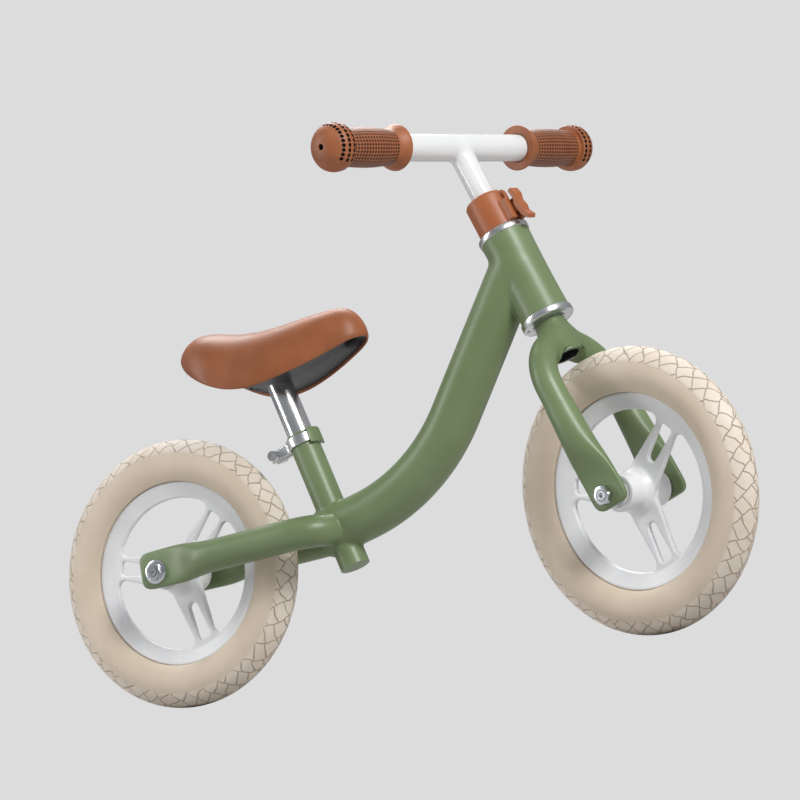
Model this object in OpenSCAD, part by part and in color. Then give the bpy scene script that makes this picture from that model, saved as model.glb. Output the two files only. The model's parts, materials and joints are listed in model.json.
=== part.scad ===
// Child's balance bike: steel frame, moulded wheels, solid rubber tyres.
// Frame of the part: +X forward, +Z up, Y across; origin under the middle, on the floor.
// Steering parts are drawn upright about the front axle, then tilted and turned into place.

/* [Wheels] */
// Outer radius of the tyres
tyre_r = 145; // [140:1:150]
// Half width of the tyres
tyre_half_w = 19.5; // [17:0.5:21]
// Outer radius of the moulded rim
rim_r = 99.5; // [98:0.5:101]
// Distance between the wheel axles
wheelbase = 545.5; // [530:0.5:560]
// Turn of the first spoke pair above the horizontal
spoke_phase = 47.5; // [40:0.5:55]

/* [Steering] */
// Lean of the steering axis
head_tilt = 21.4; // [19:0.1:23]
// Turn of the bars and front wheel as stored
steer_turn = -15.2; // [-20:0.1:0]
// Height of the handlebar above the front axle, along the steering axis
bar_s = 416.5; // [405:0.5:425]
// Half length of the handlebar tube
bar_half = 200; // [190:1:205]
// Radius of the handlebar tube
bar_r = 14.3; // [12:0.1:14.5]
// Radius of the stem tube
stem_r = 12.7; // [12:0.1:12.7]
// Radius of the steerer tube
steerer_r = 14.3; // [14.2:0.1:15]
// Distance of the fork legs from the middle
leg_y = 51; // [49:0.5:54]

/* [Frame] */
// Radius of the head tube
head_r = 26.5; // [26:0.1:28]
// Start of the head tube along the steering axis
head_s0 = 207.6; // [204:0.2:210]
// End of the head tube along the steering axis
head_s1 = 302.5; // [298:0.5:304]
// Radius of the main tube
main_r = 26; // [24:0.5:26]
// Radius of the bend in the main tube
main_bend = 200; // [180:5:215]
// Slope of the main tube below the head tube
main_slope = 57.3; // [55:0.1:59]
// Slope of the main tube at the seat tube
tail_slope = 14; // [12:0.5:16]
// Radius of the rear stays
stay_r = 17; // [16:0.5:17.5]
// Distance of the rear stays from the middle
stay_y = 46; // [44:0.5:48]

/* [Seat] */
// Lean of the seat tube
seat_tilt = 17.8; // [16:0.1:20]
// Where the seat tube's axis crosses axle height
seat_x = 206.8; // [204:0.2:210]
// Radius of the seat tube
seat_tube_r = 16; // [15.5:0.1:16.5]
// Radius of the seat post
post_r = 13.95; // [13.6:0.05:13.97]

/* [Hidden] */
$fn = 96;
mid_x = 270.67;
eps = 0.01;
wall = 1.5;
axle_r = 5;
run = 0.05;
part_tilt = 3.4;
stay_rise = 2.8;
stay_plate = 8;
stay_end_x = 202;
stay_bend = 34;
plate_t = 7;
plate_y = leg_y - 2.5;
crown_s = 125;
crown_r = 14.5;
leg_r = 16.3;
neck_top = 199.6;
screw_s = 321;
hub_half = 32;
hub_r = 19;
bearing_r = 13;
bearing_w = 8;
web_t = 7;
seat_top = 129;
ring_r = 27.6;
join_x = 310.1;
join_z = 189.2;

green = "#8CA379";
brown = "#B06A3E";
white = "#ECECEA";
steel = "#C9CBCE";
black = "#26282A";
beige = "#CDC1B0";

// ---- places ----
module bike() { translate([-mid_x, 0, 0]) children(); }
module steering() {
    bike() translate([wheelbase, 0, tyre_r]) rotate([0, -head_tilt, 0]) children();
}
module steered() { steering() rotate([0, 0, steer_turn]) children(); }
module rear_hub() { bike() translate([0, 0, tyre_r]) children(); }
module seat() { bike() translate([seat_x, 0, tyre_r]) rotate([0, -seat_tilt, 0]) children(); }
module stay_place(side) {
    bike() translate([0, 0, tyre_r + stay_rise]) rotate([0, -part_tilt, 0]) on_side(side) children();
}
module on_side(side) {
    if (side > 0) children();
    else mirror([0, 1, 0]) children();
}
module both_sides() {
    children();
    mirror([0, 1, 0]) children();
}
module along_y(y0, y1, r) { translate([0, y1, 0]) rotate([90, 0, 0]) cylinder(r = r, h = y1 - y0); }
module ring(r1, r0, h) {
    difference() {
        cylinder(r = r1, h = h);
        translate([0, 0, -1]) cylinder(r = r0, h = h + 2);
    }
}
module hex_bar(across, h) { cylinder(r = across / sqrt(3), h = h, $fn = 6); }

// ---- frame ----
module head_shape(r) {
    // slightly waisted tube, wider at its two ends
    rotate_extrude()
        difference() {
            translate([0, head_s0]) square([r, head_s1 - head_s0]);
            translate([r + 900 - 0.8, (head_s0 + head_s1) / 2]) circle(r = 900, $fn = 256);
        }
}
module head_tube() {
    color(green) steering() difference() {
        head_shape(head_r);
        translate([0, 0, head_s0 - 1]) cylinder(r = 23.5, h = head_s1 - head_s0 + 2);
    }
}
module main_run(r, tail, nose) {
    // tail, bend and upper straight, all placed from the join of the two straights
    t = main_bend * tan((main_slope - tail_slope) / 2) - 3;
    translate([join_x, 0, join_z]) {
        rotate([0, 90 - main_slope, 0]) translate([0, 0, t]) cylinder(r = r - 0.05, h = nose);
        rotate([0, -90 - tail_slope, 0]) translate([0, 0, t]) cylinder(r = r - 0.05, h = tail);
        rotate([0, -tail_slope, 0]) translate([-t - 3, 0, main_bend]) rotate([90, 0, 0])
            rotate([0, 0, -90]) rotate_extrude(angle = main_slope - tail_slope)
                translate([main_bend, 0]) circle(r = r);
    }
}
module main_tube() {
    color(green) difference() {
        bike() main_run(main_r, 46, 170);
        bike() main_run(main_r - wall, 44, 172);
        steering() cylinder(r = head_r, h = 400);
        steering() translate([0, -60, 100]) cube([120, 120, 330]);
        seat() translate([0, 0, -60]) cylinder(r = seat_tube_r, h = 160);
        for (side = [-1, 1]) stay_place(side) stay_run(stay_r, 100);
    }
}
module seat_tube() {
    color(green) seat() difference() {
        union() {
            translate([0, 0, -27]) cylinder(r = seat_tube_r, h = seat_top + 27);
            // keeper lug in front of the clamp band
            difference() {
                translate([0, 0, 112]) cylinder(r = 20.5, h = seat_top - 112);
                translate([-60, -30, 100]) cube([75, 60, 60]);
                translate([0, 0, 114.5]) cylinder(r = 18.7, h = 12.2);
            }
        }
        translate([0, 0, -28]) cylinder(r = 14, h = seat_top + 29);
        translate([-20, -1.5, 95]) cube([14, 3, 40]);
    }
}
module stay_run(r, x0) {
    // straight leg, quarter bend and half of the cross piece
    translate([x0, stay_y, 0]) rotate([0, 90, 0]) cylinder(r = r, h = stay_end_x - stay_bend - x0);
    translate([stay_end_x - stay_bend, stay_y - stay_bend, 0])
        rotate_extrude(angle = 90) translate([stay_bend, 0]) circle(r = r);
    translate([stay_end_x, stay_y - stay_bend, 0]) rotate([90, 0, 0]) cylinder(r = r, h = 4);
}
module stay_plate_2d() {
    // rounded rear end of the flattened tube, narrowing into the round part
    translate([-20, -12]) square([40, 24]);
    polygon([[-12, -20], [35, -20], [66, -13], [66, 13], [35, 20], [-12, 20]]);
    translate([-12, 12]) circle(r = 8);
    translate([-12, -12]) circle(r = 8);
}
module stay(side) {
    color(green) difference() {
        stay_place(side) difference() {
            union() {
                difference() {
                    stay_run(stay_r, 45);
                    stay_run(stay_r - wall, 47);
                }
                translate([0, stay_y + stay_plate / 2, 0]) rotate([90, 0, 0])
                    linear_extrude(stay_plate) stay_plate_2d();
            }
            translate([0, 0, -stay_rise]) along_y(stay_y - 10, stay_y + 10, axle_r + 0.1);
        }
        seat() translate([0, 0, -60]) cylinder(r = seat_tube_r, h = 160);
    }
}
module right_stay() { stay(-1); }
module left_stay() { stay(1); }
module seat_tube_plug() {
    color(green) seat() translate([0, 0, -27]) cylinder(r = 14, h = 3);
}
module upper_headset_cup() {
    color(steel) steering() {
        translate([0, 0, head_s1]) ring(ring_r, 17, 6.8);
        translate([0, 0, head_s1 - 14]) ring(23.4, 18.2, 14);
    }
}
module lower_headset_cup() {
    color(steel) steering() difference() {
        union() {
            translate([0, 0, head_s0 - 7.4]) ring(ring_r + 0.6, 17.5, 7.4);
            translate([0, 0, head_s0]) ring(23.4, 18.2, 14);
        }
        translate([-21.5, -9, head_s0 - 8]) cylinder(r = 2.1, h = 5.5);
    }
}
module lower_cup_screw() {
    color(steel) steering() translate([-21.5, -9, head_s0 - 8.2]) cylinder(r = 2, h = 5);
}
module upper_headset_bearing() {
    color(steel) steering() translate([0, 0, head_s1 - 12]) ring(18.1, steerer_r + run, 9);
}
module lower_headset_bearing() {
    color(steel) steering() translate([0, 0, head_s0 + 3]) ring(18.1, steerer_r + run, 9);
}
module seat_clamp() {
    color(steel) seat() difference() {
        union() {
            translate([0, 0, 115]) cylinder(r = 18.5, h = 11.5);
            translate([-41, -7, 115]) cube([28, 14, 11.5]);
        }
        translate([0, 0, 110]) cylinder(r = seat_tube_r + 0.1, h = 20);
        translate([-42, -2, 110]) cube([30, 4, 20]);
        translate([-34.5, 0, 120.7]) along_y(-10, 10, 3.1);
    }
}
module seat_clamp_bolt() {
    color(steel) seat() translate([-34.5, 0, 120.7]) {
        along_y(-9, 13, 3);
        along_y(-13.5, -7.1, 5.6);
    }
}
module seat_clamp_nut() {
    color(steel) seat() translate([-34.5, 12.2, 120.7]) difference() {
        rotate([90, 0, 0]) hex_bar(10, 5);
        along_y(-6, 1, 3.05);
    }
}
module axle_bar(half) {
    difference() {
        along_y(-half, half, axle_r);
        both_sides() along_y(half - 2.5, half + 1, 2.4);
    }
}
module spacers(y0, y1) {
    both_sides() difference() {
        along_y(y0, y1, 11.5);
        along_y(y0 - 1, y1 + 1, axle_r + run);
    }
}
module hub_nuts(y0, y1, across, flange_r) {
    both_sides() difference() {
        union() {
            translate([0, y1, 0]) rotate([90, 0, 0]) rotate([0, 0, 12]) hex_bar(across, y1 - y0);
            if (flange_r > 0) along_y(y0, y0 + 2.2, flange_r);
        }
        along_y(y0 - 1, y1 + 1, axle_r + run);
    }
}
module rear_axle() { color(steel) rear_hub() axle_bar(57.4); }
module rear_axle_spacers() { color(steel) rear_hub() spacers(hub_half + 1.5, stay_y - stay_plate / 2); }
module rear_axle_nuts() { color(steel) rear_hub() hub_nuts(stay_y + stay_plate / 2, 57.8, 17, 13); }

// ---- seat ----
module seat_post() {
    color(steel) seat() translate([0, 0, 40]) ring(post_r, post_r - wall, 172);
}
module saddle_bracket() {
    color(black) seat() difference() {
        union() {
            translate([0, 0, 197]) cylinder(r = 17.5, h = 17);
            translate([-30, -10, 198]) cube([32, 20, 16]);
        }
        translate([0, 0, 180]) cylinder(r = post_r + 0.02, h = 40);
        translate([-36, -2, 180]) cube([28, 4, 40]);
        translate([-22.5, 0, 209]) along_y(-20, 20, 3.1);
    }
}
module saddle_bracket_bolt() {
    color(steel) seat() translate([-22.5, 0, 209]) {
        along_y(-11, 14, 3);
        along_y(-14, -10.05, 5);
    }
}
// lower edge of the saddle: deepest under the rider, rising to nose and tail
rim_line = [[30, 377], [46, 359], [62, 346], [84, 332], [108, 323.5], [135, 321], [160, 325.5],
    [190, 334], [215, 342], [240, 351.5], [270, 364]];
top_line = [[270, 366], [264, 378], [254, 387], [242, 391], [226, 392], [200, 389], [170, 384],
    [140, 382], [110, 384], [80, 390], [60, 393], [46, 390], [30, 380]];
// underside of the base shell: hollow at the tail, almost level with the rim at the nose
base_line = [[30, 386], [46, 368], [62, 355], [84, 340], [108, 330.5], [135, 327], [160, 330],
    [190, 337.5], [215, 345], [240, 354], [270, 367]];
module saddle_side() { polygon(concat(rim_line, top_line)); }
module below_rim(lift) {
    // everything under the lower edge moved up by lift
    polygon(concat([[30, 300]], [for (p = rim_line) p + [0, lift]], [[270, 300]]));
}
module saddle_plan(inset) {
    // wide rounded tail, narrow rounded nose
    flank = [[126, 60 - inset], [150, 57 - inset], [175, 51 - inset], [200, 42 - inset], [224, 33 - inset]];
    polygon(concat(
        [for (a = [-64:8:64]) [234 + (27 - inset) * cos(a), (27 - inset) * sin(a)]],
        [for (i = [4:-1:0]) flank[i]],
        [for (a = [84:6:276]) [98 + (62 - inset) * cos(a), (62 - inset) * sin(a)]],
        [for (p = flank) [p[0], -p[1]]]));
}
module saddle_cut(inset) {
    // side outline given as children, plan outline shrunk by inset
    bike() intersection() {
        translate([0, 100, 0]) rotate([90, 0, 0]) linear_extrude(200) children();
        translate([0, 0, 290]) linear_extrude(150) saddle_plan(inset);
    }
}
module saddle_cover() {
    color(brown) difference() {
        saddle_cut(0) saddle_side();
        saddle_cut(5) below_rim(14);
        // space the moulded padding leaves over the base
        saddle_cut(11) polygon([[58, 366], [68, 352], [88, 339], [110, 331], [135, 329.5], [160, 335],
            [190, 344], [215, 352], [236, 358], [236, 373], [224, 377], [200, 374], [170, 370],
            [140, 368], [110, 370], [80, 375], [64, 375]]);
    }
}
module saddle_base() {
    last = len(base_line) - 1;
    color(black) difference() {
        saddle_cut(5.2) polygon(concat(base_line, [for (i = [last:-1:0]) base_line[i] + [0, 3]]));
        seat() translate([0, 0, 120]) cylinder(r = 17.55, h = 120);
        seat() translate([-30.3, -10.3, 180]) cube([32, 20.6, 40]);
    }
}

// ---- steering ----
module fork_tubes(r_crown, r_leg, s0) {
    translate([0, 0, crown_s]) rotate([90, 0, 90]) rotate_extrude(angle = 180)
        translate([leg_y, 0]) circle(r = r_crown);
    both_sides() translate([0, leg_y, s0]) cylinder(r1 = r_leg, r2 = r_crown, h = crown_s - s0 + eps);
}
module fork_plate_2d() {
    // flattened lower end, cut slightly askew
    polygon([[-20.8, 30], [-20.8, -3], [-17, -9.5], [-11, -11.5], [14, -15.5], [20.5, -13], [23.5, -5],
        [20.8, 30]]);
}
module fork() {
    color(green) steered() difference() {
        union() {
            fork_tubes(crown_r, leg_r, 62);
            translate([0, 0, 166]) cylinder(r1 = 17.5, r2 = 15.8, h = neck_top - 166);
            translate([0, 0, 186]) cylinder(r = steerer_r, h = 160);
            both_sides() {
                translate([0, plate_y + plate_t / 2, 0]) rotate([90, 0, 0])
                    linear_extrude(plate_t) fork_plate_2d();
                hull() {
                    translate([-20.8, plate_y - plate_t / 2, 28]) cube([41.6, plate_t, 1]);
                    translate([0, leg_y, 62]) cylinder(r = leg_r, h = 1, $fn = 32);
                }
            }
        }
        fork_tubes(crown_r - wall, leg_r - wall, 64);
        translate([0, 0, 150]) cylinder(r = stem_r + run, h = 200);
        translate([0, 0, 150]) cylinder(r = 13.4, h = 50);
        along_y(-80, 80, axle_r + 0.1);
        translate([6, -1.5, 318]) cube([12, 3, 40]);
    }
}
module fork_crown_race() {
    color(steel) steered() translate([0, 0, neck_top + 0.1]) ring(17.2, steerer_r + 0.02, 7);
}
module clamp_collar() {
    color(brown) steered() difference() {
        union() {
            translate([0, 0, 309.8]) cylinder(r = 23, h = 38);
            translate([0, 0, 347.7]) cylinder(r1 = 23, r2 = 21.5, h = 2.2);
            // boss for the wing screw
            translate([0, -10.5, 310]) cube([30, 21, 24]);
        }
        translate([0, 0, 300]) cylinder(r = steerer_r + 0.05, h = 46.2);
        translate([0, 0, 340]) cylinder(r = stem_r + 0.3, h = 20);
        translate([14.6, -3, 300]) cube([30, 6, 60]);
        translate([14, 0, screw_s]) rotate([0, 90, 0]) cylinder(r = 3.4, h = 30);
    }
}
module wing_screw() {
    color(brown) steered() translate([0, 0, screw_s]) {
        translate([16, 0, 0]) rotate([0, 90, 0]) cylinder(r = 2.9, h = 18);
        translate([30.5, 0, 0]) rotate([0, 90, 0]) cylinder(r = 6.5, h = 5);
        // wavy wings, bent forward at both ends
        translate([0, 10, 0]) rotate([90, 0, 0]) linear_extrude(20)
            polygon([[34, 18], [39, 19], [41, 11], [39, 4], [41, -3], [40, -9], [44.5, -17],
                [41, -20], [36, -13], [35, -6], [33.5, 0], [35.5, 8]]);
    }
}
module axle_local() { steered() children(); }
module front_axle() { color(steel) axle_local() axle_bar(59.2); }
module front_axle_spacers() { color(steel) axle_local() spacers(hub_half + 1.5, plate_y - plate_t / 2); }
module front_axle_nuts() { color(steel) axle_local() hub_nuts(plate_y + plate_t / 2, 59.5, 18, 0); }
module stem_tube() {
    color(white) steered() difference() {
        translate([0, 0, 225]) ring(stem_r, stem_r - wall, bar_s - 225);
        translate([0, 0, bar_s]) along_y(-30, 30, bar_r);
        translate([-30, -30, bar_s]) cube([60, 60, 30]);
    }
}
module handlebar() {
    color(white) steered() translate([0, 0, bar_s]) difference() {
        along_y(-bar_half, bar_half, bar_r);
        along_y(-bar_half - 1, bar_half + 1, bar_r - wall);
    }
}
module grip_half_2d() {
    // distance along the bar against radius: flange, waist, barrel, waist, bell, dome
    polygon([[0, 96], [24.4, 96], [24.4, 98.4], [21.2, 105], [19, 111.5], [19.8, 121], [20.8, 134],
        [20.8, 152], [19.2, 181.4], [24.3, 181.4], [25.3, 187], [25.2, 191], [23.8, 196.4],
        [20.8, 201], [14.9, 205.6], [7, 208.1], [0, 208.5]]);
}
module grip(side) {
    color(brown) steered() translate([0, 0, bar_s]) rotate([side > 0 ? -90 : 90, 0, 0])
        difference() {
            rotate_extrude() grip_half_2d();
            translate([0, 0, 90]) cylinder(r = bar_r + 0.05, h = bar_half - 89.5);
            translate([0, 0, 200]) cylinder(r = 2.6, h = 10);
        }
}
module right_grip() { grip(-1); }
module left_grip() { grip(1); }

// ---- wheels, drawn flat about the wheel's centre, axle along Y ----
pair_b = 19.2;
pair_m = -0.09;
win_r = 82;
corner_r = 8;
function corner_c() =
    let (b = pair_b + corner_r * sqrt(1 + pair_m * pair_m), k = 1 + pair_m * pair_m,
        q = pair_m * b, rr = win_r - corner_r, x = (-q + sqrt(q * q - k * (b * b - rr * rr))) / k)
    [x, pair_m * x + b];
function turn(p, a) = [p[0] * cos(a) - p[1] * sin(a), p[0] * sin(a) + p[1] * cos(a)];
module window_2d() {
    // opening between the spoke pair at 0 degrees and the pair at 120 degrees
    c = corner_c();
    a0 = atan2(-1, pair_m);
    a1 = atan2(c[1], c[0]);
    corner = [for (i = [0:8]) c + turn([corner_r, 0], a0 + (a1 - a0) * i / 8)];
    polygon(concat([turn([22, 0], 60)], corner,
        [for (i = [1:15]) turn([win_r, 0], a1 + (120 - 2 * a1) * i / 16)],
        [for (i = [8:-1:0]) turn([corner[i][0], -corner[i][1]], 120)]));
}
module slot_2d() {
    // round-ended slot that splits a spoke pair, wider at the rim
    translate([40.8, 0]) circle(r = 5.4);
    translate([72.8, 4]) circle(r = 4.2);
    translate([72.8, -4]) circle(r = 4.2);
    polygon([[40.8, 5.4], [72.8, 8.2], [72.8, -8.2], [40.8, -5.4]]);
    translate([72, -4.1]) square([4.9, 8.2]);
}
module wheel_body(phase) {
    difference() {
        union() {
            rotate([90, 0, 0]) translate([0, 0, -web_t / 2]) linear_extrude(web_t)
                rotate([0, 0, phase]) difference() {
                    circle(r = 86);
                    for (k = [0, 120, 240]) rotate([0, 0, k]) {
                        window_2d();
                        slot_2d();
                    }
                }
            rotate([90, 0, 0]) rotate_extrude($fn = 128)
                polygon([[83.5, -3.3], [93, -7], [97.5, -9], [rim_r, -8.6], [rim_r, -7], [91.5, -5.5],
                    [91.5, 5.5], [rim_r, 7], [rim_r, 8.6], [97.5, 9], [93, 7], [83.5, 3.3]]);
            along_y(-hub_half, hub_half, hub_r);
            both_sides() rotate([-90, 0, 0]) translate([0, 0, 3]) cylinder(r1 = 25, r2 = hub_r - 0.6, h = 9);
        }
        both_sides() along_y(hub_half - bearing_w - 2, hub_half + 1, bearing_r);
        along_y(-hub_half, hub_half, 7);
    }
}
module tyre_body() {
    // open casing with two beads seated on the rim
    rotate([90, 0, 0]) rotate_extrude($fn = 128) difference() {
        polygon(concat(
            [for (a = [-142:8:142]) [119.5 + (tyre_r - 119.5) * cos(a),
                tyre_half_w * sign(sin(a)) * pow(abs(sin(a)), 1.15)]],
            [[rim_r + 0.4, 9.2], [rim_r + 0.4, 6.8], [91.9, 5.2], [91.9, -5.2],
                [rim_r + 0.4, -6.8], [rim_r + 0.4, -9.2]]));
        polygon(concat([for (a = [-144:9:144]) [118.5 + 21 * cos(a), 15 * sin(a)]],
            [[98, 3.2], [91, 2.4], [91, -2.4], [98, -3.2]]));
    }
}
module hub_bearings() {
    both_sides() difference() {
        along_y(hub_half - bearing_w - 2, hub_half - 2, bearing_r - 0.02);
        along_y(hub_half - bearing_w - 3, hub_half, axle_r + run);
    }
}
module dust_caps() {
    both_sides() difference() {
        along_y(hub_half - 1.9, hub_half + 1, bearing_r - 0.05);
        along_y(hub_half - 3, hub_half + 2, axle_r + 2);
    }
}
module front_wheel() { color(white) axle_local() wheel_body(spoke_phase - head_tilt); }
module front_tyre() { color(beige) axle_local() tyre_body(); }
module front_hub_bearings() { color(steel) axle_local() hub_bearings(); }
module front_dust_caps() { color(white) axle_local() dust_caps(); }
module rear_wheel() { color(white) rear_hub() wheel_body(spoke_phase); }
module rear_tyre() { color(beige) rear_hub() tyre_body(); }
module rear_hub_bearings() { color(steel) rear_hub() hub_bearings(); }
module rear_dust_caps() { color(white) rear_hub() dust_caps(); }

head_tube();
main_tube();
seat_tube();
right_stay();
left_stay();
seat_tube_plug();
upper_headset_cup();
lower_headset_cup();
lower_cup_screw();
upper_headset_bearing();
lower_headset_bearing();
seat_clamp();
seat_clamp_bolt();
seat_clamp_nut();
rear_axle();
rear_axle_spacers();
rear_axle_nuts();
seat_post();
saddle_bracket();
saddle_bracket_bolt();
saddle_base();
saddle_cover();
fork();
fork_crown_race();
clamp_collar();
front_axle();
front_axle_spacers();
front_axle_nuts();
wing_screw();
stem_tube();
handlebar();
right_grip();
left_grip();
front_wheel();
front_tyre();
front_hub_bearings();
front_dust_caps();
rear_wheel();
rear_tyre();
rear_hub_bearings();
rear_dust_caps();
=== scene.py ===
# %% [markdown]
# # A child's balance bike
# The bike is a welded steel frame and fork with powder coat, moulded wheels, rubber tyres and grips,
# and a padded saddle on a chromed post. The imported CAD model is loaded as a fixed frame, and each
# visible part then gets a finer mesh or a better finish in the same place.
# %% Load the frame
import json
import math

import bmesh
import bpy
import numpy as np
from mathutils import Matrix, Vector


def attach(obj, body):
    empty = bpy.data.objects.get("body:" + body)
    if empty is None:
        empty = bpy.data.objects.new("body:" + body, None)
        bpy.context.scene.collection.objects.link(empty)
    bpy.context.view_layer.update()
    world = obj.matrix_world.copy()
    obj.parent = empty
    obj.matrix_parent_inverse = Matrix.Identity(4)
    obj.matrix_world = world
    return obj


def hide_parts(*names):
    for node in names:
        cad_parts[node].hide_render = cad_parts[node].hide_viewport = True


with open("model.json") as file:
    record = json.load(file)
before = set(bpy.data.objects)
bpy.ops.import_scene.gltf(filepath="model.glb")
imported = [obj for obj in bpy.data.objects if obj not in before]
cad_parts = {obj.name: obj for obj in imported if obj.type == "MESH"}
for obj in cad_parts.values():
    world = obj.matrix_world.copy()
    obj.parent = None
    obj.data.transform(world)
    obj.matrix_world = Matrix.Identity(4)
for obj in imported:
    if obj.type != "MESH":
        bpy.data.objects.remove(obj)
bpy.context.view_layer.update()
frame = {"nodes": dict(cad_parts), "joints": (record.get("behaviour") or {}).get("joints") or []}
nodes = frame["nodes"]
joints = {j["name"]: j for j in frame["joints"]}

# %% [markdown]
# ## Places
# Sizes are written in millimetres. Four matrices say where things are: the rear hub, the front hub
# with its steered axes, the unturned steering axis and the seat tube. They all come from the joints,
# so a piece is drawn upright and simple about its own axis and then put in place by one matrix.
# %% Places from the joints
MM = 0.001


def axes(origin, x, z):
    """Matrix from a part's own millimetres to the bike, from its origin and its x and z directions."""
    x, z = Vector(x).normalized(), Vector(z).normalized()
    turn = Matrix((x, z.cross(x), z)).transposed().to_4x4()
    return Matrix.Translation(origin) @ turn @ Matrix.Scale(MM, 4)


front_hub = joints["front_wheel_spin"]["pos_m"]
rear_hub = joints["rear_wheel_spin"]["pos_m"]
steer_axis = Vector(joints["steering_turn"]["axis"])
seat_axis = Vector(joints["seat_height"]["axis"])
STEERED = axes(front_hub, joints["wing_screw_turn"]["axis"], steer_axis)
HEAD = axes(front_hub, Vector((0, 1, 0)).cross(steer_axis), steer_axis)
REAR = axes(rear_hub, (1, 0, 0), (0, 0, 1))
SEAT_X = 206.8
SEAT = axes((rear_hub[0] + SEAT_X * MM, 0, rear_hub[2]), Vector((0, 1, 0)).cross(seat_axis), seat_axis)
HEAD_TILT = math.asin(-steer_axis.x)
print("head angle", round(90 - math.degrees(HEAD_TILT), 2))

# %% [markdown]
# ## Mesh helpers
# A mesh is edited as a bmesh in the part's own millimetres. One function puts it in place and makes
# the object, one makes a turned shape from half its section, one sweeps a changing section along a
# path, and one joins closed shapes into a single skin, as welding and paint do.
# %% Finish a mesh as an object
def finish_piece(bm, name, place, body, material, replaces=(), sharp=35, subdiv=0):
    bmesh.ops.remove_doubles(bm, verts=bm.verts, dist=0.003)
    bmesh.ops.recalc_face_normals(bm, faces=bm.faces)
    bmesh.ops.transform(bm, matrix=place, verts=bm.verts)
    mesh = bpy.data.meshes.new(name)
    bm.to_mesh(mesh)
    bm.free()
    return finish_mesh(mesh, name, body, material, replaces, sharp, subdiv)


def finish_mesh(mesh, name, body, material, replaces=(), sharp=35, subdiv=0):
    mesh.shade_smooth()
    if sharp:
        mesh.set_sharp_from_angle(angle=math.radians(sharp))
    obj = bpy.data.objects.new(name, mesh)
    bpy.context.scene.collection.objects.link(obj)
    for m in material if isinstance(material, (list, tuple)) else [material]:
        mesh.materials.append(m)
    if subdiv:
        s = obj.modifiers.new("subdivision", "SUBSURF")
        s.levels = s.render_levels = subdiv
    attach(obj, body)
    if replaces:
        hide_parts(*replaces)
    print(name, len(mesh.vertices), "vertices")
    return obj


# %% Turned shapes
def turned(bm, section, steps=96, closed=False):
    """Spins a section of (radius, height) points about the z axis."""
    verts = [bm.verts.new((r, 0, h)) for r, h in section]
    pairs = list(zip(verts, verts[1:] + verts[:1] if closed else verts[1:]))
    edges = [bm.edges.new(p) for p in pairs]
    bmesh.ops.spin(bm, geom=verts + edges, cent=(0, 0, 0), axis=(0, 0, 1), angle=2 * math.pi,
                   steps=steps, use_merge=True)
    return bm


def turned_mesh(section, steps=96, turn=None, closed=False):
    bm = turned(bmesh.new(), section, steps, closed=closed)
    bmesh.ops.remove_doubles(bm, verts=bm.verts, dist=0.002)
    if turn is not None:
        bmesh.ops.transform(bm, matrix=turn, verts=bm.verts)
    return bm


# %% Sweeps
def swept(bm, stations, sides=48, caps=True):
    """Sweeps a ring through stations of (centre, across, up, half width, half height, squareness)."""
    ring = bmesh.ops.create_circle(bm, segments=sides, radius=1)["verts"]
    ring.sort(key=lambda v: math.atan2(v.co.y, v.co.x) % (2 * math.pi))
    if caps:
        bm.faces.new(ring)
    angles = [2 * math.pi * i / sides for i in range(sides)]
    for n, (centre, across, up, a, b, power) in enumerate(stations):
        if n:
            loop = [ring[i] for i in range(sides)]
            edges = [bm.edges.get((loop[i], loop[(i + 1) % sides])) for i in range(sides)]
            new = bmesh.ops.extrude_edge_only(bm, edges=edges)["geom"]
            fresh = {g for g in new if isinstance(g, bmesh.types.BMVert)}
            ring = [next(e.other_vert(v) for e in v.link_edges if e.other_vert(v) in fresh) for v in loop]
        for v, t in zip(ring, angles):
            c, s = math.cos(t), math.sin(t)
            u = a * math.copysign(abs(c) ** power, c)
            w = b * math.copysign(abs(s) ** power, s)
            v.co = Vector(centre) + Vector(across) * u + Vector(up) * w
    if caps:
        bm.faces.new(ring)
    return bm


# %% Joining closed shapes into one skin
def as_object(bm, name):
    bmesh.ops.recalc_face_normals(bm, faces=bm.faces)
    mesh = bpy.data.meshes.new(name)
    bm.to_mesh(mesh)
    bm.free()
    obj = bpy.data.objects.new(name, mesh)
    bpy.context.scene.collection.objects.link(obj)
    return obj


def applied(obj):
    """The object's mesh with its modifiers applied; the object itself goes."""
    view = bpy.context.evaluated_depsgraph_get()
    mesh = bpy.data.meshes.new_from_object(obj.evaluated_get(view))
    bpy.data.objects.remove(obj)
    return mesh


def one_skin(bm, name, voxel):
    obj = as_object(bm, name)
    m = obj.modifiers.new("one skin", "REMESH")
    m.mode, m.voxel_size, m.use_smooth_shade = "VOXEL", voxel, True
    return applied(obj)


def carved(mesh, cutter_bm, name):
    """The mesh with the cutter's closed shapes taken out of it."""
    body = bpy.data.objects.new(name, mesh)
    bpy.context.scene.collection.objects.link(body)
    tool = as_object(cutter_bm, name + "_tool")
    m = body.modifiers.new("bore", "BOOLEAN")
    m.operation, m.solver, m.object = "DIFFERENCE", "EXACT", tool
    bpy.context.view_layer.update()
    out = applied(body)
    bpy.data.objects.remove(tool)
    return out


def get_points(mesh):
    co = np.zeros(len(mesh.vertices) * 3)
    mesh.vertices.foreach_get("co", co)
    return co.reshape(-1, 3)


def set_points(mesh, points):
    mesh.vertices.foreach_set("co", np.ascontiguousarray(points).ravel())
    mesh.update()


# %% [markdown]
# ## Welded tubes as distances
# A weld with powder coat over it has no hard corner: one tube flows into the next. The tubes are
# joined by a voxel remesh, and then each point slides onto the surface where a smooth minimum of
# the distances to the tubes is zero. Away from a joint that is the tube itself, and at a joint it
# is a fillet whose width is the blend value.
# %% Distances to tubes
def to_row(matrix, p):
    """A point in a part's millimetres, in the bike's millimetres."""
    return np.array(matrix @ Vector(p)) / MM


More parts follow.
